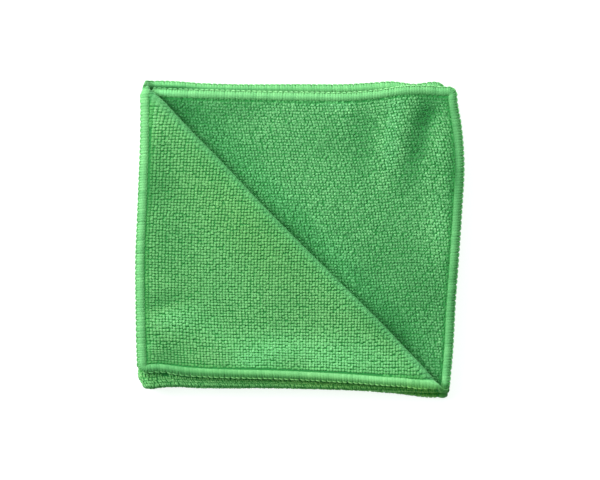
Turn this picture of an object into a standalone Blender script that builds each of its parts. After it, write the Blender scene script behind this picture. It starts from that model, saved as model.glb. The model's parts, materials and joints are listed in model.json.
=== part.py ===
"""Microfibre cloth, folded in four, with the free corner of its top layer turned back.

Blender 4.5, metres, +Z up. The packet lies on z = 0. Its folded sides are on the left (-X) and
at the bottom (-Y); the cloth's own overlocked edges are at the top (+Y) and on the right (+X).

The solid starts as a flat square in cloth coordinates (across, up), which run from -HALF to
+HALF, with a third coordinate through the thickness. Three folds then bend it in space:
  1. the lower half is turned up over the upper half (two folds along the bottom side);
  2. the left half is turned over the right half (one fold inside the other, on the left side);
  3. the top layer's free corner is turned back over the diagonal (the flap).
Each fold is a true bend of the whole thickness, so no two layers meet. Last, each layer drifts a
little in its own plane, and the stack rises and sinks a little, as loosely folded cloth does.
The values below are in millimetres.
"""

import math

import bmesh
import bpy
import numpy as np

MM = 0.001

# The cloth, laid flat
HALF = 150.0  # half the side of the square
THICK = 1.8  # backing and loops, pressed by the layers above
CORNER_RADIUS = 2.6

# The stack
PITCH = 2.5  # from the middle of one layer to the middle of the next
BOTTOM_RADIUS = PITCH / 2  # middle of the cloth in each fold of the bottom side
BOTTOM_LENGTH = math.pi * BOTTOM_RADIUS  # cloth used up in such a fold
LEFT_AXIS = 1.5 * PITCH  # height of the left side's axis over the lowest layer's middle
OUTER_LENGTH = math.pi * 1.5 * PITCH  # cloth used up in the left side's outer fold
INNER_LENGTH = math.pi * 0.5 * PITCH  # and in its inner fold
FOLD_EASE = 3.0  # how far past a bottom fold the outer length passes into the inner one
FLAP_RADIUS = PITCH / 2
FLAP_START = 0.5  # gap between the left side's fold and the start of the diagonal crease
CREASE = HALF + FLAP_START  # the crease is the line x + y = CREASE
FLAP_AXIS = 3 * PITCH + FLAP_RADIUS
TOP_LAYER_END = HALF - OUTER_LENGTH / 2  # where the top layer's right edge was before the flap

# Half the thickness of the overlocked edge, by the distance from the edge
HEM = {
    "inset": (0.0, 0.7, 1.8, 3.4, 4.6, 6.5),
    "half_thickness": (0.5, 0.95, 1.1, 1.05, 0.78, THICK / 2),
}

# Drift of the folds and edges from a perfect fold, along x or along y.
# "up" is the share of the way from the bottom side to the top edge, "across" from left to right.
LEFT_SIDE = {
    "up": (0.0, 0.03, 0.08, 0.5, 0.93, 1.0),
    "outer": (2.3, 1.0, 0.4, 0.3, 0.9, 1.6),
    "inner": (2.1, 1.4, 0.8, 0.6, 1.6, 2.8),
}
BOTTOM_SIDE = {
    "across": (0.0, 0.02, 0.06, 0.13, 0.45, 0.53, 0.65, 0.83, 0.93, 1.0),
    "upper": (1.4, 1.9, 2.4, 2.1, 2.1, 1.7, 1.2, 0.2, -0.3, -0.5),
    "lower": (1.4, 1.9, 2.4, 2.1, 2.1, 1.6, 0.9, -1.1, -2.8, -3.1),
}
RIGHT_EDGE = {
    "up": (0.0, 0.05, 0.1, 0.29, 0.43, 0.6, 0.74, 0.88, 0.96, 1.0),
    "second": (-2.6, -2.0, -1.3, 0.3, 1.8, 3.5, 4.5, 3.0, 1.1, 1.1),
    "third": (-2.6, -2.6, -2.0, -0.6, 0.6, 2.0, 3.0, 1.8, 0.0, -1.0),
    "fourth": (-1.2, 0.0, 0.3, 0.8, 1.2, 2.0, 2.5, 1.5, 0.0, -0.8),
}
TOP_EDGE = {
    "across": (0.0, 0.05, 0.16, 0.27, 0.5, 0.66, 0.74, 0.82, 0.9, 0.96, 1.0),
    "second": (-0.3, -0.7, -1.2, -1.6, -2.0, -2.1, -0.9, 0.8, 0.8, 0.2, 0.4),
    "third": (-0.6, -1.2, -1.8, -2.2, -2.6, -2.7, -1.8, -0.4, -0.4, -0.8, -1.2),
    "fourth": (-0.7, -0.7, -1.8, -2.7, -2.9, -2.4, -1.7, -1.0, -2.2, -1.2, -1.4),
}
# The top layer is pulled to the lower left by its own flap: drift along x and along y, by the
# place along the crease from the top left (-1) to the bottom right (1).
CREASE_PULL = {
    "along": (-1.0, -0.8, -0.55, -0.25, 0.6, 0.9, 1.0),
    "x": (-3.6, -3.6, -3.7, -4.7, -4.7, -5.2, -5.6),
    "y": (-3.6, -3.6, -3.7, -4.7, -4.7, -4.8, -4.6),
}
# More drift of the flap's two free edges, by the distance from where each meets the crease
FLAP_LEFT = {
    "distance": (0.0, 2.0, 4.0, 8.0, 14.0, 32.0, 56.0, 84.0, 102.0, 127.0, 143.0),
    "x": (0.0, -2.5, -3.6, -4.1, -4.5, -5.2, -5.8, -6.0, -5.2, -4.0, -3.2),
}
FLAP_BOTTOM = {
    "distance": (0.0, 6.0, 18.0, 44.0, 77.0, 107.0, 127.0, 141.0),
    "y": (0.0, -2.7, -3.1, -1.2, 0.8, 2.4, 3.6, 4.2),
}

# Soft rises (+) and troughs (-) of the upper layers: middle, reach along and across the turned
# axis, and height
WAVES = (
    {"x": 75.0, "y": 72.0, "along": 62.0, "across": 55.0, "turn": 0.0, "height": 0.7},
    {"x": 134.5, "y": 136.0, "along": 11.0, "across": 7.0, "turn": 74.0, "height": -1.5},
    {"x": 128.5, "y": 116.0, "along": 15.0, "across": 5.5, "turn": 74.0, "height": -1.0},
    {"x": 103.0, "y": 126.5, "along": 15.0, "across": 8.0, "turn": 70.0, "height": -0.6},
    {"x": 117.0, "y": 120.0, "along": 17.0, "across": 7.0, "turn": 70.0, "height": 0.7},
    {"x": 139.5, "y": 122.0, "along": 12.0, "across": 5.5, "turn": 88.0, "height": 0.7},
    {"x": 10.0, "y": 34.5, "along": 13.0, "across": 7.0, "turn": 20.0, "height": 0.8},
    {"x": 12.5, "y": 19.0, "along": 9.0, "across": 6.0, "turn": 10.0, "height": -0.8},
    {"x": 63.0, "y": 18.0, "along": 24.0, "across": 7.0, "turn": -5.0, "height": 0.6},
)
WAVE_FULL_HEIGHT = 5.0  # the lowest layer lies flat, and the waves are whole from this height

# The mesh
PANEL_STEPS = (2.5, 6.5, 13.0, 24.0, 36.0, 49.0, 62.0, 75.0, 88.0, 101.0, 114.0, 126.0, 136.0)
BOTTOM_TURNS = 6  # facets round a fold of the bottom side
LEFT_TURNS = 8
FLAP_TURNS = 6

GREEN = (0.085, 0.37, 0.105, 1.0)


def smooth(share):
    """0 to 1 with level ends."""
    share = np.clip(share, 0.0, 1.0)
    return share * share * (3.0 - 2.0 * share)


def read(table, column, place):
    """A column of a table at each place, on a smooth curve through the table's points."""
    at = np.array(next(iter(table.values())))
    value = np.array(table[column])
    slope = np.gradient(value, at)
    place = np.clip(place, at[0], at[-1])
    left = np.clip(np.searchsorted(at, place, side="right") - 1, 0, len(at) - 2)
    width = at[left + 1] - at[left]
    t = (place - at[left]) / width
    rise = value[left + 1] - value[left]
    return (
        value[left]
        + rise * t * t * (3.0 - 2.0 * t)
        + slope[left] * width * t * (1.0 - t) ** 2
        - slope[left + 1] * width * t * t * (1.0 - t)
    )


def left_half_length(up):
    """Half the cloth used up in the left side's fold, at a height on the flat cloth."""
    ease = (up + BOTTOM_LENGTH + FOLD_EASE) / (BOTTOM_LENGTH + 2 * FOLD_EASE)
    return (INNER_LENGTH + (OUTER_LENGTH - INNER_LENGTH) * smooth(ease)) / 2


def rounded_corners(across, up):
    """The square with its four corners rounded."""
    side = np.clip((np.abs(across) - HALF) / CORNER_RADIUS + 1, 0, 1)
    top = np.clip((np.abs(up) - HALF) / CORNER_RADIUS + 1, 0, 1)
    in_by = side * (1 - np.sqrt(1 - top * top / 2)) * CORNER_RADIUS
    down_by = top * (1 - np.sqrt(1 - side * side / 2)) * CORNER_RADIUS
    return across - np.sign(across) * in_by, up - np.sign(up) * down_by


def bottom_fold(up, through):
    """Turns the lower half up over the upper half. Gives y, z and the share of the turn."""
    turn = np.clip(-up / BOTTOM_RADIUS, 0, math.pi)
    reach = BOTTOM_RADIUS - through
    straight = np.maximum(up, 0) + np.maximum(-up - BOTTOM_LENGTH, 0)
    return straight - reach * np.sin(turn), BOTTOM_RADIUS - reach * np.cos(turn), turn / math.pi


def left_fold(across, half_length, z):
    """Turns the left half over the right half. Gives x, z and the share of the turn."""
    turn = np.clip((1 - across / half_length) * math.pi / 2, 0, math.pi)
    reach = LEFT_AXIS - z
    straight = np.maximum(np.abs(across) - half_length, 0)
    return straight - reach * np.sin(turn), LEFT_AXIS - reach * np.cos(turn), turn / math.pi


def flap_fold(x, y, z):
    """Turns what lies past the crease up and back over the lower left."""
    past = np.maximum(x + y - CREASE, 0) / math.sqrt(2)
    turn = np.clip(past / FLAP_RADIUS, 0, math.pi)
    reach = FLAP_AXIS - z
    back = np.maximum(past - math.pi * FLAP_RADIUS, 0)
    shift = (reach * np.sin(turn) - back - past) / math.sqrt(2)
    return x + shift, y + shift, np.where(past > 0, FLAP_AXIS - reach * np.cos(turn), z)


def layer_drift(across_share, up_share, over, turned):
    """Drift of the four layers in x and y. over is 1 on the layers of the left half, and turned
    is 1 on those of the lower half."""
    layers = (
        (over * (1 - turned), "outer", "upper", "fourth", "fourth"),
        (over * turned, "inner", "upper", "second", "second"),
        ((1 - over) * turned, "inner", "lower", "third", "third"),
        ((1 - over) * (1 - turned), "outer", "lower", "fourth", "fourth"),
    )
    dx = 0
    dy = 0
    for share, left, bottom, right, top in layers:
        from_left = read(LEFT_SIDE, left, up_share) * (1 - across_share)
        from_bottom = read(BOTTOM_SIDE, bottom, across_share) * (1 - up_share)
        dx = dx + share * (from_left + read(RIGHT_EDGE, right, up_share) * across_share)
        dy = dy + share * (from_bottom + read(TOP_EDGE, top, across_share) * up_share)
    return dx, dy


def flap_drift(x, y):
    """Drift of the top layer near and past the crease, at its place before the flap is turned."""
    along = (x - y) / HALF
    near = smooth((x + y) / CREASE)
    crest = CREASE + math.pi / 2 * FLAP_RADIUS * math.sqrt(2)
    past = np.maximum(x + y - crest, 0)
    down_left = x + HALF - crest
    along_bottom = y + TOP_LAYER_END - crest
    to_left_edge = np.minimum(past / np.maximum(down_left, 0.01), 1)
    to_bottom_edge = np.minimum(past / np.maximum(along_bottom, 0.01), 1)
    left_bow = read(FLAP_LEFT, "x", down_left) * to_left_edge
    bottom_bow = read(FLAP_BOTTOM, "y", along_bottom) * to_bottom_edge
    dx = read(CREASE_PULL, "x", along) * near + left_bow
    dy = read(CREASE_PULL, "y", along) * near + bottom_bow
    return dx, dy


def waves(x, y):
    height = 0
    for wave in WAVES:
        turn = math.radians(wave["turn"])
        along = (x - wave["x"]) * math.cos(turn) + (y - wave["y"]) * math.sin(turn)
        across = (y - wave["y"]) * math.cos(turn) - (x - wave["x"]) * math.sin(turn)
        reach = (along / wave["along"]) ** 2 + (across / wave["across"]) ** 2
        height = height + wave["height"] * np.exp(-reach)
    return height


def folded(across, up, side):
    """Folds flat points. side is -1 on the face that ends up below and 1 on the other."""
    inset = HALF - np.maximum(np.abs(across), np.abs(up))
    half_thickness = np.interp(inset, HEM["inset"], HEM["half_thickness"])
    across, up = rounded_corners(across, up)
    half_length = left_half_length(up)
    y, z, turned = bottom_fold(up, side * half_thickness)
    x, z, over = left_fold(across, half_length, z)
    across_share = np.maximum(np.abs(across) - half_length, 0) / (HALF - half_length)
    up_share = np.where(up > 0, up / HALF, (-up - BOTTOM_LENGTH) / (HALF - BOTTOM_LENGTH))
    dx, dy = layer_drift(across_share, np.maximum(up_share, 0), smooth(over), smooth(turned))
    pull_x, pull_y = flap_drift(x, y)
    top_layer = smooth(2 * over - 1) * np.clip(up / (CREASE - TOP_LAYER_END), 0, 1)
    flap_x, flap_y, flap_z = flap_fold(x, y, z)
    on_top = (across < -half_length) & (up > 0)
    x = np.where(on_top, flap_x, x) + dx + pull_x * top_layer
    y = np.where(on_top, flap_y, y) + dy + pull_y * top_layer
    z = np.where(on_top, flap_z, z) + np.maximum(half_thickness - THICK / 2, 0) + THICK / 2
    return x, y, z + waves(x, y) * smooth(z / WAVE_FULL_HEIGHT)


def column_places():
    """Columns of the flat mesh: 0 to 1 is inside the left side's fold, 1 to 2 from there on."""
    length = TOP_LAYER_END
    inside = [2 * turn / LEFT_TURNS for turn in range(1, LEFT_TURNS // 2 + 1)]
    panel = [1 + step / length for step in PANEL_STEPS]
    rim = [2 - inset / length for inset in reversed(HEM["inset"])]
    half = inside + panel + rim
    return [-place for place in reversed(half)] + [0.0] + half


def row_places():
    """Rows of the flat mesh, in millimetres."""
    rim = [HALF - inset for inset in reversed(HEM["inset"])]
    fold = [-BOTTOM_LENGTH * turn / BOTTOM_TURNS for turn in range(BOTTOM_TURNS + 1)]
    upper = list(PANEL_STEPS) + rim
    lower = [-BOTTOM_LENGTH - step for step in PANEL_STEPS] + [-place for place in rim]
    return sorted(upper + fold + lower)


def flat_sheet():
    """The flat square as one layer of triangles, with edges along the flap's crease."""
    columns = column_places()
    rows = row_places()
    bm = bmesh.new()
    bmesh.ops.create_grid(bm, x_segments=len(columns) - 1, y_segments=len(rows) - 1, size=1)
    for vert in bm.verts:
        column = round((vert.co.x + 1) / 2 * (len(columns) - 1))
        row = round((vert.co.y + 1) / 2 * (len(rows) - 1))
        place = columns[column]
        half_length = left_half_length(rows[row])
        reach = min(abs(place), 1) * half_length + max(abs(place) - 1, 0) * (HALF - half_length)
        vert.co = (math.copysign(reach, place), rows[row], 0)
    for turn in range(FLAP_TURNS + 1):
        past = math.pi * FLAP_RADIUS * turn / FLAP_TURNS
        line = CREASE + OUTER_LENGTH / 2 + past * math.sqrt(2)
        everything = bm.verts[:] + bm.edges[:] + bm.faces[:]
        bmesh.ops.bisect_plane(
            bm, geom=everything, dist=0.05, plane_co=(0, line, 0), plane_no=(-1, 1, 0)
        )
    bmesh.ops.triangulate(bm, faces=bm.faces[:])
    return bm


def cloth_mesh():
    """The folded solid: the flat sheet made double, and both of its faces folded."""
    bm = flat_sheet()
    grown = bmesh.ops.extrude_face_region(bm, geom=bm.faces[:])["geom"]
    for vert in bm.verts:
        vert.co.z = -1.0
    for item in grown:
        if isinstance(item, bmesh.types.BMVert):
            item.co.z = 1.0
    bmesh.ops.recalc_face_normals(bm, faces=bm.faces[:])
    flat = np.array([vert.co for vert in bm.verts])
    places = np.stack(folded(flat[:, 0], flat[:, 1], flat[:, 2]), axis=1)
    # The origin is under the middle of the folded cloth, on the surface that it lies on
    low = places.min(axis=0)
    high = places.max(axis=0)
    places -= ((low[0] + high[0]) / 2, (low[1] + high[1]) / 2, low[2])
    for vert, place in zip(bm.verts, places):
        vert.co = place * MM
    mesh = bpy.data.meshes.new("cloth")
    bm.to_mesh(mesh)
    bm.free()
    mesh.shade_smooth()
    return mesh


def terry_green():
    material = bpy.data.materials.new("terry_green")
    material.use_nodes = True
    shader = material.node_tree.nodes["Principled BSDF"]
    shader.inputs["Base Color"].default_value = GREEN
    shader.inputs["Roughness"].default_value = 0.95
    shader.inputs["Metallic"].default_value = 0.0
    return material


def build():
    for old in list(bpy.data.objects):
        bpy.data.objects.remove(old)
    mesh = cloth_mesh()
    mesh.materials.append(terry_green())
    cloth = bpy.data.objects.new("cloth", mesh)
    bpy.context.scene.collection.objects.link(cloth)


build()
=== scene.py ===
# %% [markdown]
# # A microfibre cloth, folded in four, with its top corner turned back
#
# The real thing is one square of terry: a thin knitted ground with thousands of short loops on
# both faces, and a thick overlocked edge in a lighter yarn. It is folded in half and in half
# again, and the free corner of the top layer is turned back over the diagonal.
#
# Everything here is made as a sewing room would make it. The ground, the loops and the edge
# yarn are first laid out flat, in the coordinates of the open cloth. Then one function folds
# any point of the open cloth into the packet, so all the pieces stay together through each fold.

# %% The frame
import math

import bpy
import numpy as np
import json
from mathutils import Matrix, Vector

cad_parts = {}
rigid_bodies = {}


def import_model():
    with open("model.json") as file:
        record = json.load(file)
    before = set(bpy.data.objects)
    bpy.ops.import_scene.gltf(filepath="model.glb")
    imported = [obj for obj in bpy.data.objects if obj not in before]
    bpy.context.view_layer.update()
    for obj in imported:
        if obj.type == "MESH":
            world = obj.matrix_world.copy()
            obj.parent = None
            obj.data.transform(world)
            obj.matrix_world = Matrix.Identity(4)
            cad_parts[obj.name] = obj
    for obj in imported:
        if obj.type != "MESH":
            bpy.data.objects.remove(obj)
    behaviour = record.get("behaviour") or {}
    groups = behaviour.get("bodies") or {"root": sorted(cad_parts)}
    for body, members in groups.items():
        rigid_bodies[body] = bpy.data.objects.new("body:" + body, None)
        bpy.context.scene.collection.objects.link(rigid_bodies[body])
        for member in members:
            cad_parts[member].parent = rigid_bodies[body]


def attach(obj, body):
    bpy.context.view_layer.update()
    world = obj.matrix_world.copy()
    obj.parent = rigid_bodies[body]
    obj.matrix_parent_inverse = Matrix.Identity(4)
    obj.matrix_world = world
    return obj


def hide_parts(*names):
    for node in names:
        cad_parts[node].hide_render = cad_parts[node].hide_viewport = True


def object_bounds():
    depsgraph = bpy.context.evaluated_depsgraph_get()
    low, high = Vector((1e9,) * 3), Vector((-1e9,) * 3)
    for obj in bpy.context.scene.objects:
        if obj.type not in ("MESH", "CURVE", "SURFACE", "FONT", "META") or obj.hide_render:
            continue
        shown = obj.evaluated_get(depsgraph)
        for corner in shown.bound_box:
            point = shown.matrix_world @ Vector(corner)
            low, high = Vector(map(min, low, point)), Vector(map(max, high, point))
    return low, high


for left_over in list(bpy.data.objects):
    bpy.data.objects.remove(left_over)
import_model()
CAD_LOW, CAD_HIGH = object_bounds()
MM = 0.001
print("CAD box in mm:", [round(1000 * (b - a), 1) for a, b in zip(CAD_LOW, CAD_HIGH)])

# %% [markdown]
# ## The three folds
#
# Cloth can't be bent sharply: each fold is a half turn round an axis, and the face on the outside
# travels further than the one on the inside. So a fold is best written as a map that bends a
# whole slab of space. The open cloth lies in the plane (across, up), and `through` is the
# distance from its middle, towards the face that shows on the packet's top. The numbers are in
# millimetres, and they are the same as in the CAD source, because the visible cloth has to lie
# where its solid lies. Only the outer lines at the top and at the bottom are moved a little, by
# 0.8 mm at most, to where the photo has them.

# %% The open cloth and its layers
HALF = 150.0  # half the side of the square
THICK = 1.8  # ground and loops, pressed by the layers above
CORNER_RADIUS = 2.6
PITCH = 2.5  # from the middle of one layer to the middle of the next
BOTTOM_RADIUS = PITCH / 2
BOTTOM_LENGTH = math.pi * BOTTOM_RADIUS  # cloth used up in a fold of the bottom side
LEFT_AXIS = 1.5 * PITCH
OUTER_LENGTH = math.pi * 1.5 * PITCH  # cloth used up in the left side's outer fold
INNER_LENGTH = math.pi * 0.5 * PITCH  # and in its inner fold
FOLD_EASE = 3.0
FLAP_RADIUS = PITCH / 2
CREASE = HALF + 0.5  # the turned corner's crease is the line x + y = CREASE
CREST = CREASE + math.pi / 2 * FLAP_RADIUS * math.sqrt(2)  # half way round it
FLAP_AXIS = 3 * PITCH + FLAP_RADIUS
TOP_LAYER_END = HALF - OUTER_LENGTH / 2
HEM = {
    "inset": (0.0, 0.7, 1.8, 3.4, 4.6, 6.5),
    "half_thickness": (0.5, 0.95, 1.1, 1.05, 0.78, THICK / 2),
}

# %% How far each layer has drifted from a perfect fold
LEFT_SIDE = {
    "up": (0.0, 0.03, 0.08, 0.5, 0.93, 1.0),
    "outer": (2.3, 1.0, 0.4, 0.3, 0.9, 1.6),
    "inner": (2.1, 1.4, 0.8, 0.6, 1.6, 2.8),
}
BOTTOM_SIDE = {
    "across": (0.0, 0.02, 0.06, 0.13, 0.45, 0.53, 0.65, 0.83, 0.93, 1.0),
    "upper": (1.4, 1.9, 2.3, 1.9, 1.6, 1.3, 0.9, 0.1, -0.3, -0.5),
    "lower": (1.4, 1.9, 2.3, 1.9, 1.6, 1.2, 0.7, -1.1, -2.8, -3.1),
}
RIGHT_EDGE = {
    "up": (0.0, 0.05, 0.1, 0.29, 0.43, 0.6, 0.74, 0.88, 0.96, 1.0),
    "second": (-2.6, -2.0, -1.3, 0.3, 1.8, 3.5, 4.5, 3.0, 1.1, 1.1),
    "third": (-2.6, -2.6, -2.0, -0.6, 0.6, 2.0, 3.0, 1.8, 0.0, -1.0),
    "fourth": (-1.2, 0.0, 0.3, 0.8, 1.2, 2.0, 2.5, 1.5, 0.0, -0.8),
}
TOP_EDGE = {
    "across": (0.0, 0.05, 0.16, 0.27, 0.5, 0.66, 0.74, 0.82, 0.9, 0.96, 1.0),
    "second": (-0.3, -0.7, -1.2, -1.7, -2.4, -2.4, -1.3, 0.5, 0.8, 0.2, 0.4),
    "third": (-0.6, -1.2, -1.8, -2.2, -2.6, -2.7, -1.8, -0.4, -0.4, -0.8, -1.2),
    "fourth": (-0.7, -0.7, -1.8, -2.3, -2.3, -2.3, -1.7, -1.0, -2.2, -1.2, -1.4),
}
CREASE_PULL = {
    "along": (-1.0, -0.8, -0.55, -0.25, 0.6, 0.9, 1.0),
    "x": (-3.6, -3.6, -3.7, -4.7, -4.7, -5.2, -5.6),
    "y": (-3.6, -3.6, -3.7, -4.7, -4.7, -4.8, -4.6),
}
FLAP_LEFT = {
    "distance": (0.0, 2.0, 4.0, 8.0, 14.0, 32.0, 56.0, 84.0, 102.0, 127.0, 143.0),
    "x": (0.0, -2.5, -3.6, -4.1, -4.5, -5.2, -5.8, -6.0, -5.2, -4.0, -3.2),
}
FLAP_BOTTOM = {
    "distance": (0.0, 6.0, 18.0, 44.0, 77.0, 107.0, 127.0, 141.0),
    "y": (0.0, -2.6, -2.4, -0.6, 1.3, 2.4, 3.6, 4.2),
}


# %% Soft rises and troughs
def soft_hills(hills, x, y):
    """The sum of soft oval hills at each point. Each row gives one hill: the x and y of its
    middle, how far it reaches along and across its own axis, its height, which is below 0 for
    a trough, and the axis's turn in degrees."""
    total = 0
    for middle_x, middle_y, length, width, height, turn in hills:
        cos, sin = math.cos(math.radians(turn)), math.sin(math.radians(turn))
        along = (x - middle_x) * cos + (y - middle_y) * sin
        across = (y - middle_y) * cos - (x - middle_x) * sin
        total = total + height * np.exp(-((along / length) ** 2 + (across / width) ** 2))
    return total


WAVES = (
    # x, y, along, across, height, turn
    (75, 72, 62, 55, 0.7, 0),
    (134.5, 136, 11, 7, -1.5, 74),
    (128.5, 116, 15, 5.5, -1, 74),
    (103, 126.5, 15, 8, -0.6, 70),
    (117, 120, 17, 7, 0.7, 70),
    (139.5, 122, 12, 5.5, 0.7, 88),
    (10, 34.5, 13, 7, 0.8, 20),
    (12.5, 19, 9, 6, -0.8, 10),
    (63, 18, 24, 7, 0.6, -5),
)
WAVE_FULL_HEIGHT = 5.0  # the layers below this height take less and less of the waves


# %% Reading the tables
def smooth(share):
    """0 to 1 with level ends."""
    share = np.clip(share, 0.0, 1.0)
    return share * share * (3.0 - 2.0 * share)


def read(table, column, place):
    """A column of a table at each place, on a smooth curve through the table's points."""
    at = np.array(next(iter(table.values())))
    value = np.array(table[column])
    slope = np.gradient(value, at)
    place = np.clip(place, at[0], at[-1])
    left = np.clip(np.searchsorted(at, place, side="right") - 1, 0, len(at) - 2)
    width = at[left + 1] - at[left]
    t = (place - at[left]) / width
    rise = value[left + 1] - value[left]
    return (
        value[left]
        + rise * t * t * (3.0 - 2.0 * t)
        + slope[left] * width * t * (1.0 - t) ** 2
        - slope[left + 1] * width * t * t * (1.0 - t)
    )


# %% The folds, one after the other
def left_half_length(up):
    """Half the cloth used up in the left side's fold, at a height on the open cloth."""
    ease = (up + BOTTOM_LENGTH + FOLD_EASE) / (BOTTOM_LENGTH + 2 * FOLD_EASE)
    return (INNER_LENGTH + (OUTER_LENGTH - INNER_LENGTH) * smooth(ease)) / 2


def rounded_corners(across, up):
    side = np.clip((np.abs(across) - HALF) / CORNER_RADIUS + 1, 0, 1)
    top = np.clip((np.abs(up) - HALF) / CORNER_RADIUS + 1, 0, 1)
    in_by = side * (1 - np.sqrt(1 - top * top / 2)) * CORNER_RADIUS
    down_by = top * (1 - np.sqrt(1 - side * side / 2)) * CORNER_RADIUS
    return across - np.sign(across) * in_by, up - np.sign(up) * down_by


def bottom_fold(up, through):
    """Turns the lower half up over the upper half."""
    turn = np.clip(-up / BOTTOM_RADIUS, 0, math.pi)
    reach = BOTTOM_RADIUS - through
    straight = np.maximum(up, 0) + np.maximum(-up - BOTTOM_LENGTH, 0)
    return straight - reach * np.sin(turn), BOTTOM_RADIUS - reach * np.cos(turn), turn / math.pi


def left_fold(across, half_length, z):
    """Turns the left half over the right half."""
    turn = np.clip((1 - across / half_length) * math.pi / 2, 0, math.pi)
    reach = LEFT_AXIS - z
    straight = np.maximum(np.abs(across) - half_length, 0)
    return straight - reach * np.sin(turn), LEFT_AXIS - reach * np.cos(turn), turn / math.pi


def flap_fold(x, y, z):
    """Turns what lies past the crease up and back over the lower left."""
    past = np.maximum(x + y - CREASE, 0) / math.sqrt(2)
    turn = np.clip(past / FLAP_RADIUS, 0, math.pi)
    reach = FLAP_AXIS - z
    back = np.maximum(past - math.pi * FLAP_RADIUS, 0)
    shift = (reach * np.sin(turn) - back - past) / math.sqrt(2)
    return x + shift, y + shift, np.where(past > 0, FLAP_AXIS - reach * np.cos(turn), z)


# %% The drift of the layers, and the soft rises and troughs
def layer_drift(across_share, up_share, over, turned):
    layers = (
        (over * (1 - turned), "outer", "upper", "fourth", "fourth"),
        (over * turned, "inner", "upper", "second", "second"),
        ((1 - over) * turned, "inner", "lower", "third", "third"),
        ((1 - over) * (1 - turned), "outer", "lower", "fourth", "fourth"),
    )
    dx = 0
    dy = 0
    for share, left, bottom, right, top in layers:
        from_left = read(LEFT_SIDE, left, up_share) * (1 - across_share)
        from_bottom = read(BOTTOM_SIDE, bottom, across_share) * (1 - up_share)
        dx = dx + share * (from_left + read(RIGHT_EDGE, right, up_share) * across_share)
        dy = dy + share * (from_bottom + read(TOP_EDGE, top, across_share) * up_share)
    return dx, dy


def flap_drift(x, y):
    along = (x - y) / HALF
    near = smooth((x + y) / CREASE)
    past = np.maximum(x + y - CREST, 0)
    down_left = x + HALF - CREST
    along_bottom = y + TOP_LAYER_END - CREST
    to_left_edge = np.minimum(past / np.maximum(down_left, 0.01), 1)
    to_bottom_edge = np.minimum(past / np.maximum(along_bottom, 0.01), 1)
    left_bow = read(FLAP_LEFT, "x", down_left) * to_left_edge
    bottom_bow = read(FLAP_BOTTOM, "y", along_bottom) * to_bottom_edge
    dx = read(CREASE_PULL, "x", along) * near + left_bow
    dy = read(CREASE_PULL, "y", along) * near + bottom_bow
    return dx, dy


# %% The whole map
def folded(across, up, through):
    """Where points of the open cloth lie in the packet, in millimetres from its lower left."""
    inset = HALF - np.maximum(np.abs(across), np.abs(up))
    lift = np.maximum(np.interp(inset, HEM["inset"], HEM["half_thickness"]), THICK / 2)
    across, up = rounded_corners(across, up)
    half_length = left_half_length(up)
    y, z, turned = bottom_fold(up, through)
    x, z, over = left_fold(across, half_length, z)
    across_share = np.maximum(np.abs(across) - half_length, 0) / (HALF - half_length)
    up_share = np.where(up > 0, up / HALF, (-up - BOTTOM_LENGTH) / (HALF - BOTTOM_LENGTH))
    dx, dy = layer_drift(across_share, np.maximum(up_share, 0), smooth(over), smooth(turned))
    pull_x, pull_y = flap_drift(x, y)
    top_layer = smooth(2 * over - 1) * np.clip(up / (CREASE - TOP_LAYER_END), 0, 1)
    flap_x, flap_y, flap_z = flap_fold(x, y, z)
    on_top = (across < -half_length) & (up > 0)
    x = np.where(on_top, flap_x, x) + dx + pull_x * top_layer
    y = np.where(on_top, flap_y, y) + dy + pull_y * top_layer
    z = np.where(on_top, flap_z, z) + lift
    return np.stack([x, y, z + soft_hills(WAVES, x, y) * smooth(z / WAVE_FULL_HEIGHT)], axis=-1)


# %% Where the packet lies in the frame
def solid_box():
    """The box of the folded solid, from a close sample of both of its faces."""
    places = np.linspace(-HALF, HALF, 601)
    across, up = (grid.ravel() for grid in np.meshgrid(places, places))
    inset = HALF - np.maximum(np.abs(across), np.abs(up))
    half = np.interp(inset, HEM["inset"], HEM["half_thickness"])
    points = np.concatenate([folded(across, up, side * half) for side in (-1, 1)])
    return points.min(axis=0), points.max(axis=0)


box_low, box_high = solid_box()
cad_low, cad_high = np.array(CAD_LOW) / MM, np.array(CAD_HIGH) / MM
SHIFT = (cad_low + cad_high) / 2 - (box_low + box_high) / 2
SHIFT[2] = cad_low[2] - box_low[2]
print("folded box in mm:", (box_high - box_low).round(2), "CAD:", (cad_high - cad_low).round(2))


# %% Pulls in the corners, and the place of a point in the frame
def drawn(past, inset, reach):
    """1 at an end of the turned corner's crest, fading along the band and into the flap."""
    along = np.exp(-(np.abs(past / np.where(past > 0, reach, 3.0)) ** 1.3))
    return along * (1 - smooth((inset - 1.5) / (3 + 0.6 * np.maximum(past, 0))))


PULLS = {  # x and y, in millimetres
    "upper": (-2.2, 0.9),
    "lower": (2.9, -3.9),
    "bulge": (-2.6, 0.0),
    "lifted": (0.0, 1.4),
}


def corner_pull(across, up):
    """Small pulls in three corners: the band of the flap is drawn over both ends of its crease,
    and at the lower left the folded corner bulges out and the flap's own corner is lifted."""
    top_layer = (across < 0) & (up > 0)
    upper = top_layer * drawn(np.abs(across) + TOP_LAYER_END - CREST, HALF - up, 10.0)
    lower = top_layer * drawn(up + TOP_LAYER_END - CREST, HALF - np.abs(across), 4.5)
    bulge = np.exp(-(across**2 + (np.abs(up + BOTTOM_LENGTH / 2) - 6) ** 2) / 7.0**2)
    from_left = HALF - up
    from_bottom = HALF - np.abs(across)
    lifted = top_layer * np.exp(-(((from_left - 9) / 7) ** 2) - (from_bottom / 8) ** 2)
    shares = {"upper": upper, "lower": lower, "bulge": bulge, "lifted": lifted}
    return sum(share[..., None] * (*PULLS[name], 0.0) for name, share in shares.items())


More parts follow.
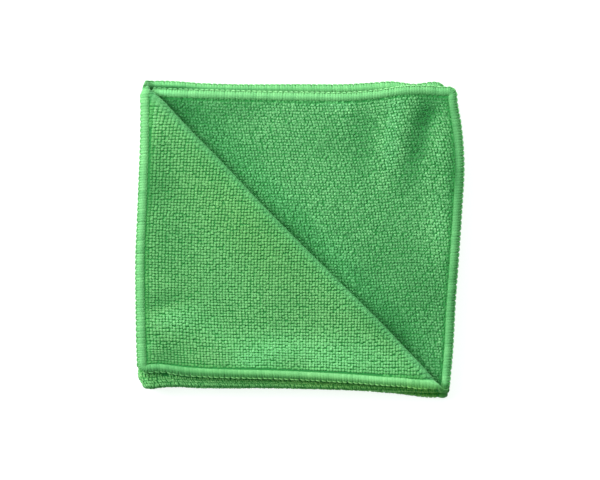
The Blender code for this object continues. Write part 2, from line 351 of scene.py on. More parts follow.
def place(across, up, through):
    """Folds points of the open cloth, and gives their places in the frame, in metres. The packet
    lies on a table, so the lowest fibres are pressed flat."""
    points = (folded(across, up, through) + corner_pull(across, up) + SHIFT) * MM
    points[..., 2] = np.maximum(points[..., 2], 0)
    return points


# %% [markdown]
# ## Painted light and shade on the nap
#
# Pile that is brushed towards the eye looks dark, and brushed away from it looks pale. This light
# and shade is painted into the colour, together with painted shade along the crease, under the
# bands and on the sides of the edge that face away from the light. Such areas are soft and have
# no edges, so they are listed as hills, as the rises of the cloth are. The yarn of the edge is
# painted darker where it dips between two layers, as in their shade. Two painted tints go with
# them: deep green in the shade of the crease, where light comes off pile alone, and olive along
# the bottom, where it comes through the folds.

# %% Painted lighter and darker places of the flap
FLAP_PAINTED_LIGHT = (
    # x, y, along, across, height, turn
    (0, 98, 15, 14, -0.28, 0),
    (3, 117, 7, 9, -0.18, 0),
    (8, 75, 11, 9, -0.20, 0),
    (7, 60, 12, 7, -0.14, 0),
    (6, 42.5, 12, 6, -0.36, 18),
    (7, 137, 7, 7, -0.10, 0),
    (9, 96, 12, 8, -0.08, 0),
    (10.5, 35, 12, 5.5, 0.34, 0),
    (8, 15, 9, 7, -0.26, 0),
    (70, 12, 7, 5, -0.18, 0),
    (113, 26, 13, 5, -0.22, -46),
    (72, 55, 16, 14, -0.07, -40),
    (31, 28.5, 14, 5, 0.12, -38),
    (48, 12.5, 8, 6, 0.30, 0),
    (58, 19, 18, 8, 0.36, 0),
    (93, 14.5, 30, 10, 0.46, 0),
    (1, 20.5, 4, 4, 0.28, 0),
    (14.5, 28, 9, 5, 0.10, 0),
    (1.5, 132, 4, 14, 0.20, 0),
    (56, 9.7, 8, 4, 0.14, 0),
    (119, 10, 10, 4, 0.14, -5),
    (35, 108, 32, 30, -0.05, 0),
    (32, 42, 20, 22, 0.07, 0),
)

# %% Painted lighter and darker places of the second layer
SECOND_PAINTED_LIGHT = (
    # x, y, along, across, height, turn
    # painted shadow of the flap, along its crease
    (75, 74.8, 110, 6.5, -0.14, -46),
    (12, 137, 14, 9, -0.38, -20),
    (40, 136, 17, 6, -0.22, 0),
    (30, 124, 12, 9, -0.12, 0),
    (72, 122, 14, 8, -0.07, 0),
    (50, 114, 9, 7, -0.12, 0),
    (121, 27, 12, 6, -0.16, -46),
    (89, 70, 16, 6, 0.12, -60),
    (143, 20, 9, 5, 0.14, 90),
    (128, 42, 12, 11, -0.08, 0),
    (140, 139, 11, 6, -0.24, 45),
    (133.5, 132, 9, 6, -0.46, 68),
    (130, 117, 12, 5, -0.42, 74),
    (125, 100, 9, 5, -0.12, 70),
    (103, 124, 28, 7, -0.19, 86),
    (118.5, 127, 24, 6, 0.28, 80),
    (119, 112, 8, 5, 0.10, 60),
    (140, 122, 14, 5, 0.16, 90),
    (146.2, 104, 18, 2.2, -0.28, 91),
    (140, 76, 15, 6, 0.24, 90),
    (85, 139, 24, 4, 0.20, 0),
    (60, 130, 10, 6, 0.10, 0),
    (96, 139, 7, 6, 0.18, 0),
    (87.5, 116, 7, 6, -0.14, 0),
    (98, 88, 7, 8, 0.12, 0),
    (95, 52, 14, 4, 0.16, -46),
    (103, 57, 7, 7, -0.12, 0),
    (123, 62, 9, 7, -0.08, 0),
    (138, 94, 5, 7, 0.12, 0),
    (139, 111, 5, 6, 0.10, 0),
    (124, 46, 42, 35, -0.15, 90),
    (90, 90, 150, 150, -0.09, 0),
)

# %% Painted lighter and darker places of the folded sides and of the edge
SIDES_PAINTED_LIGHT = (
    # x, y, along, across, height, turn
    (0, 6, 20, 12, 0.04, 0),
    # painted light under the flap's band at the lower left, painted shade under it further right
    (7, 6.5, 14, 1.3, 0.40, -5),
    (120, 1.5, 26, 2.2, -0.40, -4),
    (137, -1, 7, 1.4, 0.25, -6),
)
PURL_PAINTED_LIGHT = (
    # x, y, along, across, height, turn
    # painted shade on the edge, darkest on its right side, which faces away from the light
    (-5, 60, 12, 70, -0.11, 0),
    (147, 75, 12, 75, -0.38, 0),
    (143, -3.5, 7, 3.5, -0.45, 0),
    (10, 146.5, 13, 1, -0.55, -1),
    (4, 6, 22, 10, -0.18, 0),
)
EDGE_PAINTED_LIGHT = (
    *PURL_PAINTED_LIGHT,  # the purls themselves stand out of the narrow shades that follow
    # painted shade on the shaded halves of the bands and in the lines between them, painted light
    # on their lit parts
    (80, 148, 80, 9, -0.09, 0),
    (38, 145.6, 36, 0.7, -0.32, -0.8),
    (5, 143.9, 8, 1.8, 0.20, -2),
    (148.2, 111, 14, 1.3, -0.45, 93),
    (147, 135, 9, 7, -0.12, 90),
    (148, 70, 12, 6, 0.13, 90),
    (80, 3.9, 75, 1.2, -0.36, -3),
    (12, 9, 14, 4, -0.06, -5),
    (42, 7.2, 38, 3, -0.16, -3),
    (108, 3.4, 20, 2, 0.14, -3),
    (140.5, 1.5, 5, 4, 0.30, 0),
)

# %% Where the painted shade is tinted
TINTS = {
    # x, y, along, across, strength, turn
    # painted shade: deep green in the flap's shadow along the crease
    "crease_shade_tint": ((75.5, 74.5, 110, 9, 1, -45.5),),
    "olive_shade_and_yellow_tint": (
        # painted shade: olive along the bottom, where light comes through the folds; the last
        # hill only tints the middle of the flap yellow
        (136, -2.5, 18, 3.5, 1, -6),
        (95, 0.8, 34, 3.2, 0.5, -5),
        (45, 5.2, 60, 3.2, 0.3, -3),
        (46, 78, 36, 13, 0.18, -45),
    ),
}

# %% The painted light and shade, and the painted tints, at each point
PAINTED_LIGHT = {
    "pile_flap": FLAP_PAINTED_LIGHT,
    "pile_second_layer": SECOND_PAINTED_LIGHT,
    "pile_folded_sides": SIDES_PAINTED_LIGHT,
    "edge_purls": PURL_PAINTED_LIGHT,
}


def shades(name, points):
    """The painted light and shade of a piece at each point, with 1 for the middle, and how strong
    each painted tint is.
    """
    x, y = (points[:, :2] / MM - SHIFT[:2]).T
    painted_light = 1 + soft_hills(PAINTED_LIGHT.get(name, EDGE_PAINTED_LIGHT), x, y)
    return {"painted_light": painted_light, **{tint: soft_hills(hills, x, y) for tint, hills in TINTS.items()}}


# %% [markdown]
# ## Helpers for making pieces
#
# Small shapes are modelled with Blender's own operators, as by hand. An operator acts on all that
# is selected, so each piece starts with nothing selected. A shape that repeats, such as a loop
# of the pile, is modelled once. Its points are then read as an array, copied to each place on
# the open cloth, folded, and joined in one mesh. The last map, `OFBake`, gives each copy its own
# spot on a picture, so that its colours can be baked.

# %% Modelling helpers
def start_piece():
    if bpy.context.mode != "OBJECT":
        bpy.ops.object.mode_set(mode="OBJECT")
    bpy.ops.object.select_all(action="DESELECT")


def shape_of(piece):
    """The points and the faces of a piece, which is then removed. Operators may leave the faces
    in another order each time, so they are sorted."""
    mesh = piece.data
    points = np.array([vert.co for vert in mesh.vertices])
    faces = sorted(tuple(face.vertices) for face in mesh.polygons)
    bpy.data.objects.remove(piece)
    bpy.data.meshes.remove(mesh)
    return points, faces


def give_values(mesh, attributes):
    """One value or vector a point for each attribute."""
    for name, values in attributes.items():
        values = np.asarray(values, np.float32)
        kind, field = ("FLOAT_VECTOR", "vector") if values.ndim > 1 else ("FLOAT", "value")
        mesh.attributes.new(name, kind, "POINT").data.foreach_set(field, values.ravel())


def give_map(mesh, name, spots):
    """A place on a map for each corner of a face."""
    layer = mesh.uv_layers.new(name=name)
    layer.uv.foreach_set("vector", np.asarray(spots, np.float32).ravel())


def mesh_piece(name, points, faces, attributes, spots):
    """A smooth piece at the origin, with its values at each point and its map for the bake."""
    mesh = bpy.data.meshes.new(name)
    mesh.from_pydata(points.tolist(), [], faces)
    mesh.shade_smooth()
    give_values(mesh, {**attributes, **shades(name, points)})
    give_map(mesh, "OFBake", spots)
    piece = bpy.data.objects.new(name, mesh)
    bpy.context.scene.collection.objects.link(piece)
    print(f"{name}: {sum(len(face) - 2 for face in faces)} triangles")
    return piece


# %% One colour spot for each copy
MARGIN = 0.04  # round each spot, and round each cell


def face_spots(faces):
    """A small square on the picture for each face of a shape, in one cell of 1 by 1."""
    side = math.ceil(math.sqrt(len(faces)))
    spots = []
    for index, face in enumerate(faces):
        angle = (np.arange(len(face)) + 0.5) * 2 * math.pi / len(face)
        corner = np.stack([np.cos(angle), np.sin(angle)], axis=1)
        corner /= np.abs(corner).max(axis=1, keepdims=True)
        spots.append((corner * (0.5 - MARGIN) + 0.5 + (index % side, index // side)) / side)
    return np.concatenate(spots)


def spots_for(copies, own_spots):
    """Lays the copies out on a square picture, a cell each, with the same layout in each cell."""
    side = math.ceil(math.sqrt(copies))
    cell = np.stack([np.arange(copies) % side, np.arange(copies) // side], axis=1)
    return (cell[:, None] + MARGIN + (1 - 2 * MARGIN) * own_spots) / side


# %% [markdown]
# ## The knitted ground
#
# The ground is a thin jersey. It starts as a grid with finer rows and columns along the edge and
# in the folds, gets straight cuts along the crease of the turned corner, so that the mesh can
# bend there, and Solidify gives it its second face. Near the edge it swells into the roll that
# the overlock yarn is wound on. Cloth simulation would be the other way to fold it, but three
# stacked folds of a 30 cm square take far too fine a mesh to come out clean.

# %% How far the overlocked edge reaches in
BAND = 3.9
TIGHT_BAND = 3.8  # where the stitches are drawn tighter, along the flap's left side
PULL_LEFT = 3.2  # how strongly the crease draws at the band on that side
PULL_BOTTOM = 2.2  # and at the flap's lower side
NARROWEST = 0.35  # as a share of the full band


def past_crease(across, up):
    """How far past the crease's crest a point of the top layer is, measured along an edge."""
    return np.maximum(np.abs(across) - left_half_length(up), 0) + up - CREST


def band_width(across, up):
    """The flap is pulled out sideways near both ends of its crease, which would widen its band,
    so the band is narrower there on the open cloth."""
    on_flap = (across < 0) & (up > 0) & (past_crease(across, up) > -2)
    past = np.maximum(past_crease(across, up), 0) + 1.0
    left_side = smooth((up + across) / 20 + 0.5)
    width = BAND + (TIGHT_BAND - BAND) * left_side
    pull = PULL_LEFT * left_side + PULL_BOTTOM * (1 - left_side)
    return np.where(on_flap, width * np.maximum(past / (past + pull), NARROWEST), BAND)


# %% Thickness of the ground
GROUND_HALF = 0.42
GROUND = {
    "inset": (0.0, 0.35, 1.0, 1.8, 2.6, 3.3, 4.1, 5.2),
    "half": (0.10, 0.32, 0.50, 0.60, 0.50, GROUND_HALF, GROUND_HALF, GROUND_HALF),
}


def band_inset(across, up):
    """Distance from the edge, in widths of the band."""
    inset = HALF - np.maximum(np.abs(across), np.abs(up))
    return inset / band_width(across, up)


def ground_half(across, up):
    return np.interp(band_inset(across, up) * BAND, GROUND["inset"], GROUND["half"])


# %% Rows and columns of the grid
FIELD_STEP = 2.5
FIELD = np.arange(FIELD_STEP, TOP_LAYER_END - GROUND["inset"][-1], FIELD_STEP)
RIM = np.array(GROUND["inset"])[::-1]


def column_places():
    """0 to 1 is inside the left side's fold, 1 to 2 from there to the edge."""
    inside = np.linspace(0, 1, 7)[1:]
    half = np.concatenate([inside, 1 + FIELD / TOP_LAYER_END, 2 - RIM / TOP_LAYER_END])
    return np.concatenate([-half[::-1], [0.0], half])


def row_places():
    fold = -BOTTOM_LENGTH * np.linspace(0, 1, 9)
    upper = np.arange(FIELD_STEP, HALF - RIM.max() - FIELD_STEP / 2, FIELD_STEP)
    lower = -BOTTOM_LENGTH - FIELD
    return np.sort(np.concatenate([upper, HALF - RIM, fold, lower, RIM - HALF]))


# %% The open sheet
CREASE_WIDTH = math.pi * FLAP_RADIUS * math.sqrt(2)
CREASE_CUTS = CREASE + OUTER_LENGTH / 2 + CREASE_WIDTH * np.linspace(0, 1, 9)  # as up - across


def open_sheet():
    columns, rows = column_places(), row_places()
    start_piece()
    bpy.ops.mesh.primitive_grid_add(
        x_subdivisions=len(columns) - 1, y_subdivisions=len(rows) - 1, size=2
    )
    sheet = bpy.context.object
    flat = np.array([vert.co for vert in sheet.data.vertices])
    column = np.rint((flat[:, 0] + 1) / 2 * (len(columns) - 1)).astype(int)
    row = np.rint((flat[:, 1] + 1) / 2 * (len(rows) - 1)).astype(int)
    share, up = columns[column], rows[row]
    half_length = left_half_length(up)
    reach = np.minimum(abs(share), 1) * half_length
    reach = reach + np.maximum(abs(share) - 1, 0) * (HALF - half_length)
    flat = np.stack([np.copysign(reach, share), up, 0 * up], axis=1)
    sheet.data.vertices.foreach_set("co", flat.astype(np.float32).ravel())
    bpy.ops.object.mode_set(mode="EDIT")
    for cut in CREASE_CUTS:
        bpy.ops.mesh.select_all(action="SELECT")
        bpy.ops.mesh.bisect(plane_co=(0, cut, 0), plane_no=(-1, 1, 0), threshold=0.05)
    bpy.ops.object.mode_set(mode="OBJECT")
    bpy.ops.object.modifier_add(type="SOLIDIFY")
    sheet.modifiers[0].thickness = 2
    sheet.modifiers[0].offset = 0
    bpy.ops.object.modifier_apply(modifier=sheet.modifiers[0].name)
    return sheet


ground = open_sheet()
ground.name = ground.data.name = "knitted_ground"
print("open sheet:", len(ground.data.polygons), "faces")


# %% Folding the sheet
CREST_SHARE = 0.62
CREST_REACH = 0.48


def crease_share(across, up):
    """How far round the crease of the turned corner a point of the open cloth is: 0 where it
    starts, 1 where the cloth lies flat again, and -1 outside the top layer."""
    half_length = left_half_length(up)
    x = np.maximum(np.abs(across) - half_length, 0)
    past = (x + up - CREASE) / math.sqrt(2) / (math.pi * FLAP_RADIUS)
    return np.where((across < -half_length) & (up > 0), np.clip(past, -1, 2), -1)


def at_crease(across, up):
    """1 on the crest of the crease, falling to 0 a few millimetres away."""
    return np.exp(-(((crease_share(across, up) - CREST_SHARE) / CREST_REACH) ** 2))


flat = np.array([vert.co for vert in ground.data.vertices])
across, up, face = flat.T
points = place(across, up, np.sign(face) * ground_half(across, up))
ground.data.vertices.foreach_set("co", points.astype(np.float32).ravel())
ground.data.shade_smooth()
give_values(
    ground.data,
    {
        # where painted shade goes: under the stitches and beside the band
        "hem_painted_shade": smooth((1 - band_inset(across, up)) * 6),
        "crease": at_crease(across, up) * (face > 0),
    },
)


# %% Maps of the sheet: its own weave, and the bake's picture
def sheet_maps(mesh, flat):
    """On the picture, the back of the cloth lies on the left and its front on the right."""
    for old in list(mesh.uv_layers):
        mesh.uv_layers.remove(old)
    corner = np.empty(len(mesh.loops), np.int32)
    mesh.loops.foreach_get("vertex_index", corner)
    counts = np.array([len(face.vertices) for face in mesh.polygons])
    face_of = np.repeat(np.arange(len(counts)), counts)
    mean_side = np.bincount(face_of, flat[corner, 2]) / counts
    on_front = mean_side[face_of] > 0
    share = flat[corner, :2] / (2 * HALF) + 0.5
    share[:, 0] = (share[:, 0] * (1 - MARGIN) + MARGIN / 2 + on_front) / 2
    give_map(mesh, "Weave", flat[corner, :2] * MM)
    give_map(mesh, "OFBake", share)


sheet_maps(ground.data, flat)
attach(ground, "root")
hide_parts("cloth")

# %% [markdown]
# ## The loops of the pile
#
# Terry gets its grip from loops of yarn that stand up from the ground. One loop is half a ring:
# a torus with its lower half taken off, made wider than it is thick, because the microfibres
# spread. It stands in rows of 1.40 mm by 1.44 mm, which the photograph gives. A height texture
# could fake this from above, but the loops show in the outline and the pits between them are
# truly dark, so they are real geometry here, of 8 to 18 faces each.

# %% One loop
LOOP_REACH = 0.58  # from the middle of the loop to the middle of its yarn
YARN_RADIUS = 0.30
LOOP_SPREAD = 2.15  # the yarn is this many times wider than thick
LOOP_FULLNESS = 0.7  # under 1, the loop is flatter on top than half a ring


def model_loop(sides, turns):
    """A ring of yarn spun over half a circle, its feet at z = 0 and its top at z = 1."""
    start_piece()
    bpy.ops.mesh.primitive_circle_add(
        vertices=sides, radius=YARN_RADIUS, location=(LOOP_REACH, 0, 0)
    )
    loop = bpy.context.object
    bpy.ops.object.transform_apply()
    bpy.ops.object.mode_set(mode="EDIT")
    bpy.ops.mesh.select_all(action="SELECT")
    bpy.ops.mesh.spin(steps=turns, angle=math.pi, center=(0, 0, 0), axis=(0, 1, 0))
    bpy.ops.mesh.select_all(action="SELECT")
    bpy.ops.transform.resize(value=(1, LOOP_SPREAD, 1), center_override=(0, 0, 0))
    bpy.ops.mesh.normals_make_consistent(inside=False)
    bpy.ops.object.mode_set(mode="OBJECT")
    points, faces = shape_of(loop)
    points[:, 2] = (points[:, 2] / points[:, 2].max()).clip(0) ** LOOP_FULLNESS
    return points, np.array(faces)


LOOP = model_loop(6, 3)
SIDE_LOOP = model_loop(5, 3)
LOW_LOOP = model_loop(4, 2)
print("one loop:", len(LOOP[1]), "faces; a low one:", len(LOW_LOOP[1]))

# %% Where the loops stand
RANDOM = np.random.default_rng(20)
ROW_PITCH = 1.44
SLANT_ROOM = 20  # more columns on both sides, for rows that lie at a slant


def lattice(column_pitch):
    """A place for each loop of the open cloth, with five random numbers each."""
    columns = np.arange(-HALF - SLANT_ROOM, HALF + SLANT_ROOM, column_pitch)
    rows = np.arange(-HALF, HALF, ROW_PITCH)
    across, up = (grid.ravel() for grid in np.meshgrid(columns, rows))
    return across, up, RANDOM.normal(size=(5, len(across)))


LATTICE = lattice(1.40)
STRETCHED_LATTICE = lattice(1.05)  # round the folds the columns are drawn closer


# %% Copying a loop to its places
PILE_INSET = 1.08  # where the loops begin, in widths of the band
FEET = 0.12  # how far a loop's feet reach into the ground
STRAY, LEAN = 0.3, 0.25  # in millimetres, where restless is 1
TURN = 0.6  # in radians, likewise
FURTHEST = 2.2  # no chance counts for more
UNEVEN_HEIGHT, UNEVEN_WIDTH = 0.12, 0.08
LOW_ON_CREST, WIDE_ON_CREST = 0.5, 0.25
LOW_BY_BAND = 0.5
# painted shade: loops beside the band are painted darker, as in the shade of its roll
PAINTED_SHADE_BY_BAND = 3.0  # in steps of the tone between loops


def stray(places, slant, restless):
    """Moves the places a little, in soft waves and at random: no knitted row is straight."""
    across, up, chances = places
    across = across + slant * (up + HALF / 2)
    swing = 0.35 * np.sin(across / 7.1 + up / 23.0) + 0.25 * np.sin(up / 5.3 - across / 17.0)
    aside, along = STRAY * restless * chances[:2]
    return across + aside + STRAY * swing, up + along + STRAY * swing, chances


def strew(name, side, shape, chosen, height, restless, slant=0.0, places=LATTICE, narrow=1.0):
    """Copies the loop to the chosen places of the lattice, on one face of the cloth, and folds
    all of them. restless is how far the loops stray from their rows, lean and turn. They are
    lower beside the band and on the crest of the crease, where they also spread."""
    template, faces = shape
    middle, row, chance = stray(places, slant, restless)
    mask = chosen(middle, row)
    middle, row, chance = middle[mask, None], row[mask, None], chance[:, mask, None]
    chance = chance.clip(-FURTHEST, FURTHEST)
    crease = at_crease(middle, row) if side > 0 else 0 * middle
    past_band = (band_inset(middle, row) - PILE_INSET) * band_width(middle, row)
    grown = 1 - LOW_BY_BAND + LOW_BY_BAND * smooth(past_band / 2.0)
    tall = height * (1 + UNEVEN_HEIGHT * chance[3]) * (1 - LOW_ON_CREST * crease) * grown
    wide = 1 + UNEVEN_WIDTH * chance[4] + WIDE_ON_CREST * crease
    x, y, z = template.T
    along = x * wide + LEAN * restless * chance[3] * z
    aside = narrow * y * wide + LEAN * restless * chance[0] * z
    turn = TURN * restless * chance[2]
    across = middle + np.cos(turn) * aside - np.sin(turn) * along
    up = row + np.cos(turn) * along + np.sin(turn) * aside
    through = side * (GROUND_HALF - FEET + z * (tall + FEET))
    copies, count = across.shape
    points = place(across.ravel(), up.ravel(), through.ravel())
    all_faces = (faces + count * np.arange(copies)[:, None, None]).reshape(-1, 4)
    if side < 0:
        all_faces = all_faces[:, ::-1]
    outward = place(middle, row, side * (GROUND_HALF + 1)) - place(middle, row, 0 * row)
    outward /= np.linalg.norm(outward, axis=-1, keepdims=True)
    attributes = {
        "outward": np.repeat(outward, count, axis=0).reshape(-1, 3),
        "tip": (z.clip(0, 1) * grown).ravel(),
        # random tone, with painted shade beside the band
        "tone_and_painted_light": np.repeat(chance[1] - PAINTED_SHADE_BY_BAND * (1 - smooth(past_band / 1.5)), count),
        "crease": np.repeat(crease, count),
    }
    spots = spots_for(copies, face_spots(faces))
    piece = mesh_piece(name, points, all_faces.tolist(), attributes, spots)
    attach(piece, "root")
    print(copies, "loops")
    return piece


# %% The faces that show
FLAP_START = -0.9  # the flap's loops begin before its crease, as a share of the way round it
UNDER_FLAP = 11  # how far the second layer's loops run on under the flap
BY_FOLD = 4  # and those of the folded sides past their folds
FOLD_REACH = OUTER_LENGTH / 2 + BY_FOLD


def inside_band(across, up):
    return band_inset(across, up) > PILE_INSET


def on_flap(across, up):
    return inside_band(across, up) & (crease_share(across, up) > FLAP_START)


def on_second_layer(across, up):
    x = -across - INNER_LENGTH / 2
    y = -up - BOTTOM_LENGTH
    return inside_band(across, up) & (x > 0) & (y > 0) & (x + y > CREASE - UNDER_FLAP)


def on_underside(across, up):
    return inside_band(across, up) & (across > FOLD_REACH) & (up > BY_FOLD)


def on_folded_sides(across, up):
    left = (np.abs(across) < FOLD_REACH) & (up > 0)
    bottom = (up < BY_FOLD) & (up > -BOTTOM_LENGTH - BY_FOLD)
    return inside_band(across, up) & (left | bottom)


pile = [
    strew("pile_flap", 1, LOOP, on_flap, height=0.40, restless=0.31),
    strew(
        "pile_second_layer", 1, LOOP, on_second_layer, height=0.27, restless=0.36, slant=-0.2
    ),
    strew(
        "pile_folded_sides", -1, SIDE_LOOP, on_folded_sides, height=0.48, restless=0.35,
        places=STRETCHED_LATTICE, narrow=0.75,
    ),
    strew("pile_underside", -1, LOW_LOOP, on_underside, height=0.50, restless=0.3),
]

# %% [markdown]
# ## The overlocked edge
#
# An overlock machine winds a thick, fluffy yarn round the raw edge, two strands to a stitch. On
# each face the strands lie side by side as a smooth roll, they draw together at the very edge,
# and a short slanting purl ties each pair there. So a strand is one swept tube, wide where it
# lies on the face and narrow at the edge, and a stitch is two strands, a purl and a short
# needle stitch on each face. The stitch is 2.6 mm long.

# %% A tube, extruded and widened step by step
def sweep(sides, stations):
    """A tube along X. Each station is (x, y, z, half the width, half the thickness)."""
    start_piece()
    bpy.ops.mesh.primitive_circle_add(vertices=sides, radius=1, fill_type="NGON")
    tube = bpy.context.object
    bpy.ops.object.mode_set(mode="EDIT")
    bpy.ops.mesh.select_all(action="SELECT")
    # The circle lies in XY: its X becomes the thickness and its Y the width
    spines = [np.array(station[2::-1]) for station in stations]
    sizes = [np.array([station[4], station[3], 1.0]) for station in stations]
    bpy.ops.transform.resize(value=sizes[0], center_override=(0, 0, 0))
    for step in range(1, len(stations)):
        move = {"value": spines[step] - spines[step - 1]}
        bpy.ops.mesh.extrude_region_move(TRANSFORM_OT_translate=move)
        growth = sizes[step] / sizes[step - 1]
        bpy.ops.transform.resize(value=growth, center_override=spines[step] - spines[0])
    bpy.ops.mesh.select_all(action="SELECT")
    bpy.ops.mesh.normals_make_consistent(inside=False)
    bpy.ops.object.mode_set(mode="OBJECT")
    points, faces = shape_of(tube)
    return (points + spines[0])[:, ::-1], [face[::-1] for face in faces]


def strand_stations(lean):
    """Stations of a strand: its x runs from -1, on one face, over the edge at 0, to 1. It is
    narrow at the edge, and its ends dip into the pile."""
    stations = []
    for x in (-1, -0.9, -0.75, -0.6, -0.5, -0.38, -0.2, 0, 0.2, 0.38, 0.5, 0.6, 0.75, 0.9, 1):
        spread = smooth((abs(x) - 0.30) / 0.20)
        y = lean * (0.60 + 0.06 * spread) + 0.35 * x
        sink = -0.06 * (1 - spread) - 0.15 * smooth((abs(x) - 0.8) / 0.2)
        stations.append((x, y, sink, 0.68 + 0.38 * spread, 0.22 + 0.06 * spread))
    return stations


STRANDS = [sweep(6, strand_stations(lean)) for lean in (-1, 1)]
print("a strand:", len(STRANDS[0][0]), "points,", len(STRANDS[0][1]), "faces")


# %% The path of the edge, and the section of its roll
TURN_RADIUS = 4.0  # of the stitches' path round a corner of the cloth
STRAIGHT = 2 * (HALF - TURN_RADIUS)
SIDE_LENGTH = STRAIGHT + TURN_RADIUS * math.pi / 2
STITCHES = round(4 * SIDE_LENGTH / 2.6)
STITCH = 4 * SIDE_LENGTH / STITCHES
ROLL_HALF = 0.82
ROLL_TURN = math.radians(160)  # how far round the oval a strand goes, on each face
OVERHANG = 0.1


def on_edge(along, inset):
    """A point of the open cloth, from its place along the four edges and its distance inside."""
    side, rest = np.divmod(along, SIDE_LENGTH)
    angle = np.maximum(rest - STRAIGHT, 0) / TURN_RADIUS
    reach = TURN_RADIUS - inset
    straight = np.minimum(rest, STRAIGHT) - STRAIGHT / 2
    across = straight + reach * np.sin(angle)
    up = HALF - TURN_RADIUS + reach * np.cos(angle)
    cos, sin = np.cos(side * math.pi / 2), -np.sin(side * math.pi / 2)
    return across * cos - up * sin, across * sin + up * cos


def roll_section(around, width):
    """Distance from the edge and height over the cloth's middle, for around from -1 to 1. A
    tighter band stands further out."""
    angle = around * ROLL_TURN
    inset = width / 2 - (width / 2 + OVERHANG) * np.cos(angle) - 0.7 * (BAND - width).clip(0, 0.7)
    return inset, ROLL_HALF * np.sin(angle)


def wind(along, around, proud):
    """Folds points given by their place along the edge, round its roll and proud of it."""
    width = band_width(*on_edge(along, 0.0))
    inset, through = roll_section(around, width)
    ahead, behind = (roll_section(around + step, width) for step in (0.02, -0.02))
    slope_in, slope_up = ahead[0] - behind[0], ahead[1] - behind[1]
    length = np.hypot(slope_in, slope_up)
    inset = inset - proud * slope_up / length
    through = through + proud * slope_in / length
    across, up = on_edge(along, inset)
    return place(across, up, through)


# %% Copying a shape to every stitch
def stitch_piece(name, shapes, settle, lighter=0.0):
    """Copies the shapes to each stitch. settle turns a shape's points into places along the
    edge, round it and proud of it."""
    points, faces, tone_and_painted_light, high, start = [], [], [], [], 0
    chance = RANDOM.normal(size=(STITCHES, len(shapes)))
    wobble = 0.04 * STITCH * RANDOM.normal(size=STITCHES).clip(-2, 2)
    starts = STITCH * np.arange(STITCHES) + wobble
    for index, (template, own_faces) in enumerate(shapes):
        along, around, proud = settle(starts[:, None], *template.T)
        grid = np.broadcast_arrays(along % (4 * SIDE_LENGTH), around, proud)
        points.append(wind(*(values.ravel() for values in grid)))
        count = len(template)
        for copy in range(STITCHES):
            first = start + copy * count
            faces.extend(tuple(first + corner for corner in face) for face in own_faces)
        start += STITCHES * count
        # random tone, with a painted highlight added where lighter is given
        tone_and_painted_light.append(np.repeat(chance[:, index] + lighter, count))
        z = template[:, 2]
        high.append(np.tile((z - z.min()) / np.ptp(z), STITCHES))
    attributes = {"tone_and_painted_light": np.concatenate(tone_and_painted_light), "tip": np.concatenate(high)}
    spots = spots_for(STITCHES * len(shapes), face_spots(shapes[0][1]))
    piece = mesh_piece(name, np.concatenate(points), faces, attributes, spots)
    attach(piece, "root")
    return piece


def settle_strand(starts, x, y, z):
    return starts + y, x + 0 * starts, z + 0 * starts


edge = [stitch_piece("edge_strands", STRANDS, settle_strand)]

# %% Purls and needle stitches
PURL = sweep(
    6,
    [
        (-1.2, -0.30, -0.10, 0.14, 0.10),
        (-0.85, -0.22, 0.03, 0.34, 0.22),
        (0.0, 0.0, 0.09, 0.42, 0.27),
        (0.85, 0.22, 0.03, 0.34, 0.22),
        (1.2, 0.30, -0.10, 0.14, 0.10),
    ],
)
NEEDLE = sweep(
    4,
    [
        (-1.25, 0.0, -0.35, 0.14, 0.14),
        (-0.7, 0.0, 0.05, 0.19, 0.17),
        (0.7, 0.0, 0.05, 0.19, 0.17),
        (1.25, 0.0, -0.35, 0.14, 0.14),
    ],
)
ROUND = 4.0  # millimetres for one step of a place round the roll
PURL_FACE = 0.31  # a tight purl is drawn on to the face that shows
PURL_OUT = 0.25  # and one of a full band lies out at the rim
PURL_PROUD = 0.26
# painted highlight: the purls stand proud, so they are painted paler, as if they caught the light
PURL_PAINTED_HIGHLIGHT = 4.0  # in steps of the tone between strands
NEEDLE_PLACE = 0.93  # round the roll, at the inner side of the band


def settle_purl(starts, x, y, z):
    """x runs along the edge, and y round the roll, in millimetres. A tight purl lies lower."""
    tight = band_width(*on_edge(starts, 0.0)) / BAND
    around = PURL_FACE * tight**3 - PURL_OUT * tight**6 + y / ROUND
    return starts + 0.12 + x, around, z + PURL_PROUD * tight**6


edge.append(stitch_piece("edge_purls", [PURL], settle_purl, PURL_PAINTED_HIGHLIGHT))


def stitch_line(side):
    def settle(starts, x, y, z):
        return starts + x, side * (NEEDLE_PLACE + y / ROUND) + 0 * starts, z + 0.05 + 0 * starts

    return settle


edge.append(stitch_piece("needle_front", [NEEDLE], stitch_line(1)))
edge.append(stitch_piece("needle_back", [NEEDLE], stitch_line(-1)))

# %% [markdown]
# ## The finishes
#
# Shader maths reads best as ordinary expressions, so a small class wraps a socket and turns
# +, * and their kin into Math nodes. All other nodes come from one method.
#
# Fibres aren't shaded by their light alone, and here their light and shade is painted into the
# colour. Light that comes from deep in the pile has met more green fibres, so red and blue fall
# off faster than green. Where the painted light is lighter than usual it has a painted sheen, a
# little whiter and bluer. The table gives the power of each, and the share by which a painted
# tint changes the channel.

# %% How red and blue follow the light
RED = {"deep": 0.65, "sheen": 0.10, "crease_shade_tint": -0.20, "olive_shade_and_yellow_tint": 0.15}
BLUE = {"deep": 0.30, "sheen": 0.35, "crease_shade_tint": -0.06, "olive_shade_and_yellow_tint": -0.40}


# %% Shader maths
class Socket:
    """An output of a node, on which sums can be written."""

    def __init__(self, finish, output):
        self.finish, self.output = finish, output

    def maths(self, operation, first, second):
        return self.finish.node("Math", {"operation": operation}, {0: first, 1: second})

    def __add__(self, other):
        return self.maths("ADD", self, other)

    def __sub__(self, other):
        return self.maths("SUBTRACT", self, other)

    def __rsub__(self, other):
        return self.maths("SUBTRACT", other, self)

    def __mul__(self, other):
        return self.maths("MULTIPLY", self, other)

    def __pow__(self, other):
        return self.maths("POWER", self, other)

    __radd__, __rmul__ = __add__, __mul__


